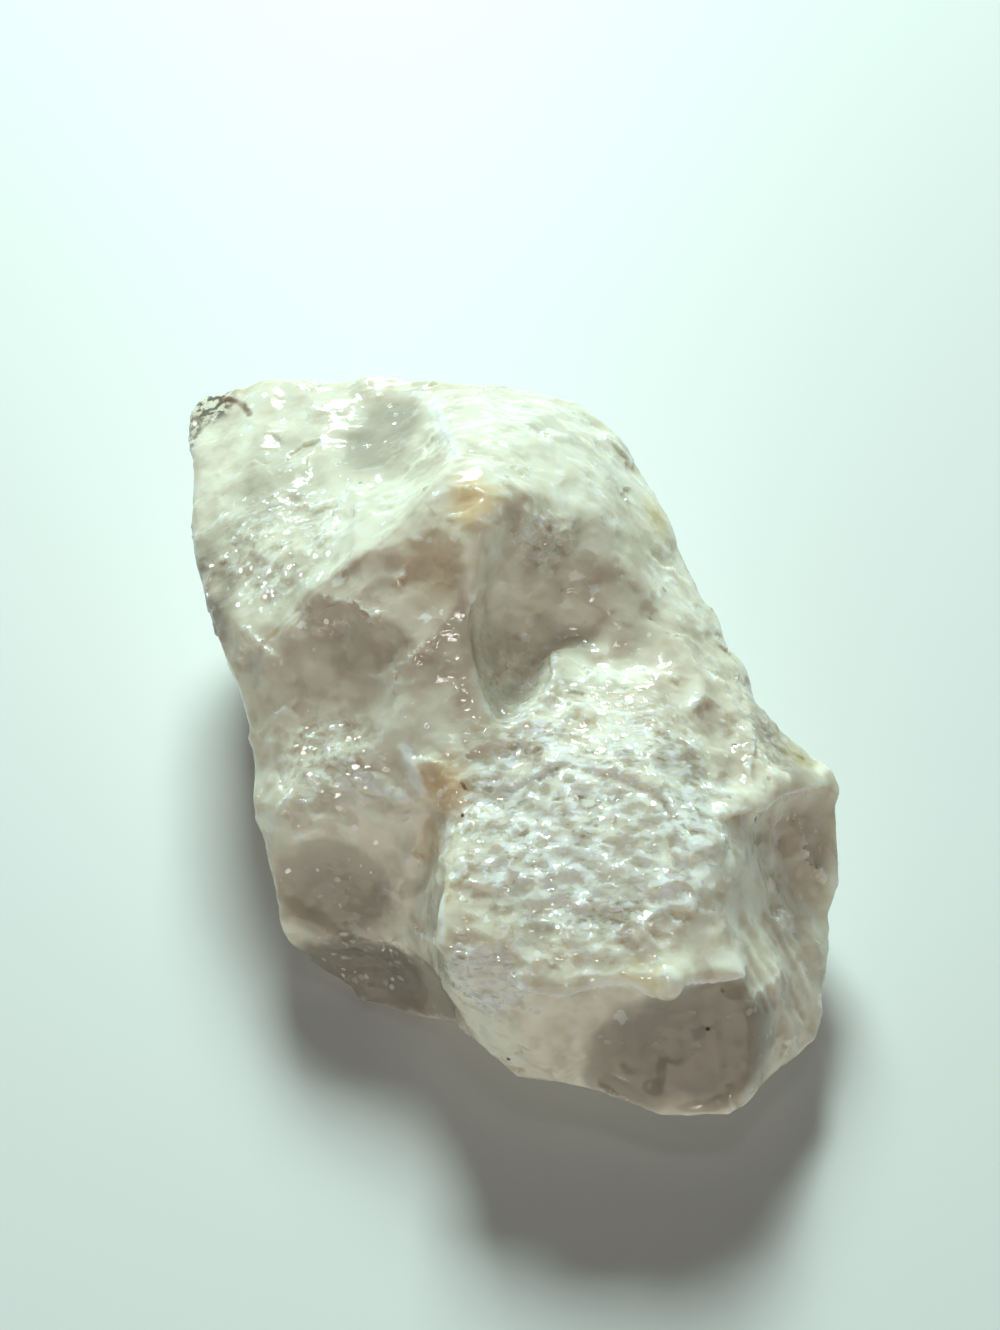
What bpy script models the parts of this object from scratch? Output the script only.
"""A rough chunk of milky quartz, broken all round, resting on a flat broken face.

Metres, +Z up. The origin is the middle of the flat face that it rests on. In the
reference view +X is to the right and +Y goes away from the viewer.
"""

import math

import bmesh
import bpy
from mathutils import Vector, noise
from mathutils.geometry import delaunay_2d_cdt

MM = 0.001

# The reference view: a lens looking down on the stone, with the point AIM_HEIGHT over the
# origin seen at AIM_PIXEL, VIEW_DISTANCE into the picture. Points of the visible side are
# (across, down, height): where they are seen, in pixels of a picture 1000 wide and 1330
# high, and how high they stand over the table, in millimetres.
PICTURE_CENTRE = (500.0, 665.0)
FOCAL_PIXELS = 1575.0
MERGE_PIXELS = 0.0001
LOOKING_DOWN = math.radians(50.0)
VIEW_DISTANCE = 140.8
AIM_HEIGHT = 16.0
AIM_PIXEL = (477.0, 688.0)

# How the surface is worked, in millimetres.
SKIN_GRAIN = 0.6
LUMP_SIZE = 9.0
LUMP_HEIGHT = 0.3
FACET_SIZE = 5.5
SMALL_FACET_SIZE = 2.6
FACET_DEEPEST = 0.6
REST_SNAP = 0.15

# Shares of the full effect: how far facets lean, how flat they are cut, how much a turn
# of the surface parts them, how wavy their borders are, how much their edges are worn.
FACET_TILT = 0.05
SMALL_FACET_TILT = 0.09
LARGE_FACET_SHARE = 0.8
QUIET_SHARE = 0.2
FACET_CREASE = 1.2
FACET_BEND = 0.15
EDGE_WEAR = 0.5

RANDOM_SEED = 7
TRIANGLES = 9000

RIGHT = Vector((1.0, 0.0, 0.0))
FORWARD = Vector((0.0, math.cos(LOOKING_DOWN), -math.sin(LOOKING_DOWN)))
UP = RIGHT.cross(FORWARD)

# Going round the silhouette as seen, clockwise from the worn corner at top left.
OUTLINE = {
    "back top edge": (
        (185, 408, 21.5), (194, 394, 22), (207, 386, 22.5), (229, 382, 23.5), (250, 378, 24),
        (272, 375, 24.6), (284, 377, 24.8), (313, 378, 25.2), (333, 376, 25.6), (341, 372, 26),
        (359, 371, 26.4), (394, 370, 27), (420, 373, 27.2), (443, 378, 27.2), (471, 380, 27.2),
        (502, 384, 27), (540, 390, 26.4), (560, 391, 26), (578, 398, 25.6),
    ),
    "back right slope": (
        (596, 411, 25), (614, 422, 24.6), (629, 436, 24.2), (637, 452, 23.8), (650, 477, 23),
        (662, 503, 22.2), (675, 526, 21.4), (682, 541, 21), (682, 556, 20.6), (690, 579, 20),
        (703, 592, 19.4), (713, 610, 19), (724, 630, 18.4), (734, 648, 18), (746, 664, 17.4),
        (759, 686, 16.8), (770, 702, 16.4), (781, 717, 16), (796, 735, 15.6),
        (814, 749, 15.4), (831, 767, 15.2),
    ),
    "right corner and flank": (
        (849, 783, 15), (853, 790, 14.6), (846, 810, 13.4), (848, 846, 11.8), (847, 881, 10.4),
        (843, 906, 9.6), (840, 930, 8.8), (833, 960, 8), (831, 989, 7.2), (828, 1015, 6.6),
        (824, 1040, 6.2), (814, 1057, 6), (796, 1068, 6.4),
    ),
    "front underside lip": (
        (779, 1074, 7), (772, 1086, 7.4), (768, 1100, 7.6), (762, 1115, 7.4), (750, 1127, 7.2),
        (728, 1137, 7), (709, 1133, 7.3), (695, 1124, 7.6), (675, 1127, 7.4), (656, 1122, 7.2),
        (633, 1116, 7), (616, 1107, 7), (594, 1101, 7), (571, 1092, 7), (555, 1087, 7),
        (532, 1085, 7), (513, 1080, 7.2), (496, 1067, 7.6), (479, 1054, 8), (465, 1038, 8.4),
    ),
    "front left foot": (
        (457, 1028, 4.4), (438, 1028, 3.2), (422, 1025, 2.8), (406, 1020, 2.5), (384, 1013, 2.2),
        (358, 1006, 2), (347, 999, 2), (331, 980, 2.6), (315, 964, 3.4), (294, 950, 4.8),
    ),
    "left side": (
        (280, 937, 6.5), (274, 918, 8.2), (269, 897, 9.6), (265, 870, 11), (262, 843, 12),
        (257, 825, 13), (247, 798, 14.6), (244, 784, 15.2), (247, 758, 16), (242, 740, 16.6),
        (243, 718, 17.4), (240, 696, 18.2), (229, 671, 19), (218, 654, 19.6), (212, 635, 20.1),
        (204, 615, 20.6), (202, 590, 21), (199, 571, 21.3), (195, 549, 21.6), (190, 535, 21.8),
        (190, 513, 22), (187, 487, 22), (185, 462, 22), (180, 434, 21.6),
    ),
}

# Edges and troughs that a finger would find, each a line over the visible side.
LINES = {
    "head front edge": (
        (206, 582, 21.6), (234, 600, 23), (246, 625, 22.9), (257, 646, 22.6), (285, 618, 25),
        (308, 590, 27.4), (348, 564, 30), (374, 549, 31.5), (398, 522, 33), (420, 503, 34),
        (445, 478, 35),
    ),
    "head vein": ((425, 384, 27.4), (434, 402, 29), (441, 428, 31), (456, 456, 34)),
    "shell scoop edge": ((262, 400, 24.6), (318, 412, 26.2), (352, 388, 26.8), (400, 385, 27.3)),
    "middle rib": (
        (480, 489, 35.4), (487, 533, 34.2), (479, 590, 31.4), (475, 628, 29.4), (484, 674, 27),
        (494, 727, 24.4), (512, 766, 22.4),
    ),
    "hollow rim": (
        (487, 533, 34.2), (500, 518, 34.2), (520, 511, 33.4), (540, 508, 32.6), (558, 503, 32),
        (598, 505, 30), (618, 530, 28.2),
    ),
    "hollow left foot": (
        (494, 556, 31.2), (489, 600, 28), (487, 634, 25.6), (495, 674, 23.4), (503, 710, 21.6),
    ),
    "hollow floor edge": (
        (503, 710, 21.6), (533, 682, 21.4), (542, 652, 22.2), (578, 640, 22.8), (610, 664, 22.4),
        (628, 678, 22), (652, 660, 22.8), (700, 668, 22.8),
    ),
    "block back edge": (
        (512, 766, 22.4), (501, 736, 23), (511, 716, 23.8), (530, 700, 24.2), (547, 690, 24.5),
        (550, 662, 25.2), (558, 651, 25.3), (573, 662, 25), (590, 678, 24.8), (606, 692, 24.5),
        (624, 698, 24.3), (638, 684, 24.6), (652, 678, 24.6), (700, 682, 24.2), (716, 696, 23.6),
    ),
    "block left edge": (
        (512, 766, 22.4), (521, 783, 21.8), (498, 804, 21.4), (472, 814, 21.2), (454, 826, 21.1),
        (443, 840, 21), (440, 880, 20), (437, 930, 18.6), (438, 958, 17.6), (443, 982, 14.6),
        (452, 1006, 11.4), (465, 1038, 8.4),
    ),
    "gully beside block": (
        (438, 824, 18.4), (433, 846, 16.8), (430, 880, 14.6), (427, 928, 12), (429, 958, 9.6),
        (435, 985, 6.8), (445, 1009, 4.8), (457, 1028, 4.4),
    ),
    "block front lip": (
        (470, 988, 15.2), (500, 1004, 14.6), (524, 990, 16.8), (547, 996, 17), (578, 995, 17.4),
        (612, 984, 18), (644, 991, 17.8), (665, 996, 17.6), (678, 988, 18), (702, 984, 18),
        (726, 979, 17.8), (746, 975, 17.2),
    ),
    "under front lip": (
        (527, 999, 15.2), (550, 1005, 15), (582, 1004, 15), (614, 994, 15.6), (645, 1001, 15),
        (666, 1006, 14.6), (682, 998, 15), (704, 995, 15), (728, 990, 15.2),
    ),
    "front right corner": (
        (746, 975, 17.2), (758, 1006, 14.4), (768, 1046, 11), (779, 1074, 7),
    ),
    "groove right of block": (
        (716, 696, 23.6), (727, 724, 21.4), (737, 750, 19.8), (742, 788, 19.4), (740, 826, 19.6),
    ),
    "right ledge lip": (
        (745, 817, 19.9), (758, 816, 19.6), (771, 807, 19.2), (782, 795, 18.6), (814, 798, 17),
        (846, 810, 13.4),
    ),
    "under right ledge": (
        (752, 825, 16.8), (773, 818, 15.8), (787, 806, 15.2), (814, 809, 14.2),
    ),
    "left shelf lip": (
        (257, 790, 15.6), (272, 804, 16.4), (290, 815, 16.8), (312, 828, 17), (334, 820, 17.8),
        (352, 804, 18.8), (384, 802, 19.4), (398, 778, 21),
    ),
    "flaky ridge": ((372, 724, 23), (392, 738, 22.8), (404, 762, 21.6), (419, 800, 20.2)),
    "lower left ledge": (
        (280, 937, 6.5), (310, 925, 8.6), (352, 940, 8.4), (382, 952, 8.8), (411, 942, 11),
        (424, 950, 11.6),
    ),
}

# Single high and low places between those lines.
SPOTS = (
    # head top
    (215, 425, 22.6), (208, 460, 23), (240, 470, 24), (215, 520, 23), (262, 440, 25),
    (250, 540, 25), (290, 500, 26.6), (330, 440, 26.2), (360, 412, 26), (385, 450, 27.2),
    (400, 415, 26.6), (345, 500, 28.6), (410, 475, 30.8), (300, 560, 27.2), (225, 565, 23.2),
    # top band
    (480, 402, 29.8), (500, 440, 33), (470, 462, 34.6), (462, 500, 35), (505, 490, 34.8),
    (540, 425, 30.6), (590, 440, 28.8), (560, 475, 31.6), (612, 475, 28.2), (640, 510, 25.6),
    (645, 545, 24.6),
    # face under the head
    (225, 630, 21.4), (248, 672, 19.8), (330, 605, 28), (440, 545, 32.8), (400, 590, 30.4),
    (440, 620, 29.4), (300, 645, 24.4), (345, 662, 23), (385, 690, 24.2), (330, 706, 21.6),
    (282, 695, 20.6), (266, 722, 19.4), (362, 708, 22.8), (402, 655, 27.4), (438, 690, 25.8),
    (430, 740, 24), (462, 752, 24), (450, 790, 22), (426, 812, 19.8), (486, 780, 22.6),
    (418, 712, 25),
    # left shelf
    (270, 758, 17.6), (300, 768, 18.6), (335, 765, 19.6), (370, 765, 20.8), (320, 735, 19.9),
    # scoop in the lower left
    (285, 862, 11.8), (305, 890, 10), (330, 850, 14.2), (345, 890, 10.6), (375, 850, 15.8),
    (390, 900, 12), (405, 830, 18.6), (412, 880, 15), (408, 925, 11.4), (320, 920, 8.8),
    # foot
    (315, 945, 6), (345, 965, 5), (380, 975, 5.2), (410, 980, 5.8), (400, 1003, 3.8),
    (360, 988, 3.4), (432, 1005, 4.6),
    # hollow
    (522, 545, 30.2), (560, 540, 29.6), (600, 560, 27.8), (520, 600, 26.4), (560, 600, 26),
    (600, 610, 24.8), (515, 655, 22.8), (645, 600, 24.6), (648, 640, 23.4), (575, 570, 28),
    # right shoulder
    (668, 560, 23), (690, 610, 21.8), (690, 650, 22), (712, 655, 20.6), (735, 690, 20.2),
    (728, 672, 20.4), (672, 640, 23.4),
    # top of the block
    (560, 735, 24.4), (620, 740, 24.5), (680, 740, 23.9), (540, 800, 23.2), (600, 812, 23.4),
    (660, 800, 23.6), (500, 860, 21.4), (560, 870, 21.8), (620, 880, 21.8), (680, 870, 21.8),
    (480, 930, 18.8), (530, 940, 19), (590, 950, 19.2), (640, 945, 19.6), (690, 930, 19.9),
    (716, 800, 22.8), (724, 860, 21.2), (732, 925, 19), (455, 905, 19.6), (505, 965, 17.4),
    # front of the block
    (500, 1040, 11.4), (540, 1045, 11.8), (572, 1030, 12.8), (600, 1040, 11.9), (610, 1075, 9.6),
    (640, 1035, 12.2), (640, 1085, 9.2), (690, 1040, 11.8), (700, 1085, 9.4), (735, 1030, 13),
    (745, 1075, 10), (720, 1112, 8.4), (560, 1070, 9.8),
    # right flank
    (750, 745, 21.2), (765, 770, 20.4), (756, 795, 20.6), (752, 712, 20.4), (768, 735, 18.8),
    (785, 760, 18.4), (805, 765, 17.2), (830, 788, 15.6), (788, 780, 18.6),
    (755, 850, 17), (775, 850, 14.6), (805, 845, 12.8), (830, 840, 12.6), (765, 885, 15.6),
    (795, 888, 12), (825, 895, 10.6), (758, 930, 16), (785, 930, 12.4), (812, 945, 9.8),
    (772, 975, 13.8), (800, 990, 9.4), (790, 1035, 8.6), (808, 1020, 7.8),
)

# Where the stone is chipped most: the middle of each patch in the reference view, and
# how far it reaches across and down.
ROUGH_PATCHES = {
    "top of the block": (600, 850, 190, 190),
    "left shelf": (335, 770, 90, 60),
    "middle of the head": (290, 530, 90, 80),
    "lower left": (380, 970, 90, 60),
}

# The hidden side, in millimetres: across, away from the viewer, height. Each is a run of
# points round the stone, and the lowest one is the rim of the face that it rests on.
BACK_LINES = {
    "upper wall": (
        (-20.5, 1.5, 12.0), (-23.5, 10.0, 12.0), (-27.0, 20.5, 14.0), (-25.5, 30.5, 15.0),
        (-17.5, 34.0, 17.0), (-8.5, 33.5, 15.0), (0.5, 32.0, 18.0), (7.5, 29.5, 15.0),
        (13.5, 21.0, 14.0), (18.0, 13.5, 11.0), (22.0, 5.5, 9.5), (26.0, -2.0, 8.0),
        (29.0, -10.0, 7.0), (28.0, -19.5, 3.5),
    ),
    "lower wall": (
        (-16.0, -14.5, 4.0), (-19.0, -6.5, 5.5), (-21.3, 5.5, 4.5), (-24.0, 18.5, 5.0),
        (-21.5, 28.5, 6.0), (-9.5, 31.0, 5.5), (3.5, 27.5, 6.0), (12.5, 18.5, 4.5),
        (20.5, 3.5, 3.5),
    ),
    "front underside": ((22.5, -28.5, 3.0), (11.5, -28.5, 2.6), (2.5, -26.5, 2.8)),
    "rest face rim": (
        (-14.5, -16.0, -1.0), (-18.0, -4.5, -1.0), (-22.5, 10.5, -1.0), (-19.5, 23.0, -1.0),
        (-4.5, 26.5, -1.0), (8.5, 17.5, -1.0), (17.5, 3.5, -1.0), (23.5, -9.5, -1.0),
        (19.5, -21.5, -1.0), (6.5, -23.0, -1.0), (-5.5, -21.0, -1.0), (-14.5, -16.0, -1.0),
    ),
    "rest face middle": ((-8.5, -5.5, -1.6), (-2.5, 8.5, -1.6)),
}


def clear_scene():
    for obj in list(bpy.data.objects):
        bpy.data.objects.remove(obj)


def lens_place():
    """Where the lens of the reference view is."""
    across = (AIM_PIXEL[0] - PICTURE_CENTRE[0]) / FOCAL_PIXELS
    down = (AIM_PIXEL[1] - PICTURE_CENTRE[1]) / FOCAL_PIXELS
    ray = FORWARD + RIGHT * across - UP * down
    return Vector((0.0, 0.0, AIM_HEIGHT)) - ray * VIEW_DISTANCE


LENS = lens_place()


def seen_point(across, down, height):
    """The point at this height over the table that is seen at this pixel."""
    ray = (
        FORWARD
        + RIGHT * ((across - PICTURE_CENTRE[0]) / FOCAL_PIXELS)
        - UP * ((down - PICTURE_CENTRE[1]) / FOCAL_PIXELS)
    )
    return LENS + ray * ((height - LENS.z) / ray.z)


def pixel_of(point):
    """Where a point is seen in the reference view."""
    way = point - LENS
    depth = way.dot(FORWARD)
    return (
        PICTURE_CENTRE[0] + FOCAL_PIXELS * way.dot(RIGHT) / depth,
        PICTURE_CENTRE[1] - FOCAL_PIXELS * way.dot(UP) / depth,
    )


def skin(pixels, rim_size, lines):
    """Triangles over the points seen at these pixels, inside the rim, which comes first.

    Lines are runs of point numbers that are kept as edges.
    """
    edges = [pair for line in lines for pair in zip(line, line[1:])]
    rim = list(range(rim_size))
    found = delaunay_2d_cdt([Vector(pixel) for pixel in pixels], edges, [rim], 1, MERGE_PIXELS)
    triangles, sources = found[2], found[3]
    return [[sources[corner][0] for corner in triangle] for triangle in triangles]


def numbered(line, numbers):
    """The numbers of a line's points; a point that is new gets the next number."""
    for point in line:
        numbers.setdefault(point, len(numbers))
    return [numbers[point] for point in line]


def relief_mesh():
    """The visible side and the hidden side, joined along the silhouette."""
    seen = {}
    for line in OUTLINE.values():
        numbered(line, seen)
    rim_size = len(seen)
    front_edges = [numbered(line, seen) for line in LINES.values()]
    numbered(SPOTS, seen)
    front_places = [seen_point(*point) for point in seen]
    front_pixels = [point[:2] for point in seen]

    hidden = {}
    back_edges = [numbered(line, hidden) for line in BACK_LINES.values()]
    back_edges = [[number + rim_size for number in line] for line in back_edges]
    back_places = [Vector(place) for place in hidden]
    back_pixels = front_pixels[:rim_size] + [pixel_of(place) for place in back_places]

    mesh = bmesh.new()
    verts = [mesh.verts.new(place * MM) for place in front_places + back_places]
    back_verts = verts[:rim_size] + verts[len(front_places):]
    for triangle in skin(front_pixels, rim_size, front_edges):
        mesh.faces.new([verts[number] for number in triangle])
    for triangle in skin(back_pixels, rim_size, back_edges):
        mesh.faces.new([back_verts[number] for number in reversed(triangle)])
    bmesh.ops.recalc_face_normals(mesh, faces=mesh.faces)
    return mesh


def replace_mesh(stone, change):
    """Gives the stone the mesh that one modifier makes of it."""
    depsgraph = bpy.context.evaluated_depsgraph_get()
    done = bpy.data.meshes.new_from_object(stone.evaluated_get(depsgraph))
    stone.modifiers.remove(change)
    stone.data = done
    stone.data.name = stone.name


def even_out(stone):
    """Rebuilds the coarse relief as an even skin, fine enough for the chipping."""
    change = stone.modifiers.new("Remesh", "REMESH")
    change.mode = "VOXEL"
    change.voxel_size = SKIN_GRAIN * MM
    change.adaptivity = 0.0
    replace_mesh(stone, change)


def chipping(point):
    """How strongly the stone is chipped here: fully in the rough patches, less elsewhere."""
    across, down = pixel_of(point)
    reach = max(
        1.0 - math.hypot((across - u) / wide, (down - v) / high)
        for u, v, wide, high in ROUGH_PATCHES.values()
    )
    return QUIET_SHARE + (1.0 - QUIET_SHARE) * min(1.0, max(0.0, reach * 3.0))


def cut_facets(mesh, size, tilt, strength):
    """Cuts the skin into flat facets about this size, each leaning a little its own way.

    The surface is parted into cells that stop at its edges, and each point moves
    towards the mean plane of its cell, by its own strength.
    """
    mesh.normal_update()
    cells = {}
    for vert in mesh.verts:
        point = vert.co / MM / size + vert.normal * FACET_CREASE
        point += noise.noise_vector(point) * FACET_BEND
        seed = noise.voronoi(point)[1][0]
        cells.setdefault(tuple(round(part, 3) for part in seed), []).append(vert)
    for members in cells.values():
        middle = sum((vert.co for vert in members), Vector()) / len(members)
        facing = sum((vert.normal for vert in members), Vector()).normalized()
        facing = (facing + noise.random_unit_vector() * tilt).normalized()
        for vert in members:
            off = (middle - vert.co).dot(facing)
            off = max(-FACET_DEEPEST * MM, min(FACET_DEEPEST * MM, off))
            vert.co += facing * off * strength[vert.index]


def wear_edges(mesh):
    every_way = {"use_axis_x": True, "use_axis_y": True, "use_axis_z": True}
    bmesh.ops.smooth_vert(mesh, verts=mesh.verts, factor=EDGE_WEAR, **every_way)


def chip_surface(stone):
    """Shallow lumps, then large facets all over and small ones in the rough patches."""
    noise.seed_set(RANDOM_SEED)
    mesh = bmesh.new()
    mesh.from_mesh(stone.data)
    mesh.normal_update()
    mesh.verts.ensure_lookup_table()
    for vert in mesh.verts:
        vert.co += vert.normal * noise.noise(vert.co / MM / LUMP_SIZE) * LUMP_HEIGHT * MM
    rough = [chipping(vert.co / MM) for vert in mesh.verts]
    cut_facets(mesh, FACET_SIZE, FACET_TILT, [LARGE_FACET_SHARE] * len(rough))
    wear_edges(mesh)
    cut_facets(mesh, SMALL_FACET_SIZE, SMALL_FACET_TILT, rough)
    mesh.to_mesh(stone.data)
    mesh.free()


def flatten_foot(stone):
    """Everything under the table plane is pressed up onto it, which makes the rest face."""
    for vert in stone.data.vertices:
        if vert.co.z < REST_SNAP * MM:
            vert.co.z = 0.0


def thin_out(stone):
    change = stone.modifiers.new("Decimate", "DECIMATE")
    change.ratio = TRIANGLES / (2.0 * len(stone.data.polygons))
    replace_mesh(stone, change)


def milky_material():
    material = bpy.data.materials.new("milky_quartz")
    material.use_nodes = True
    shader = material.node_tree.nodes["Principled BSDF"]
    shader.inputs["Base Color"].default_value = (0.62, 0.60, 0.52, 1.0)
    shader.inputs["Roughness"].default_value = 0.32
    shader.inputs["Metallic"].default_value = 0.0
    return material


def build():
    clear_scene()
    mesh = relief_mesh()
    data = bpy.data.meshes.new("milky_quartz_chunk")
    mesh.to_mesh(data)
    mesh.free()
    stone = bpy.data.objects.new("milky_quartz_chunk", data)
    bpy.context.scene.collection.objects.link(stone)
    even_out(stone)
    chip_surface(stone)
    flatten_foot(stone)
    thin_out(stone)
    flatten_foot(stone)
    stone.data.materials.clear()
    stone.data.materials.append(milky_material())
    return stone


if __name__ == "__main__":
    build()
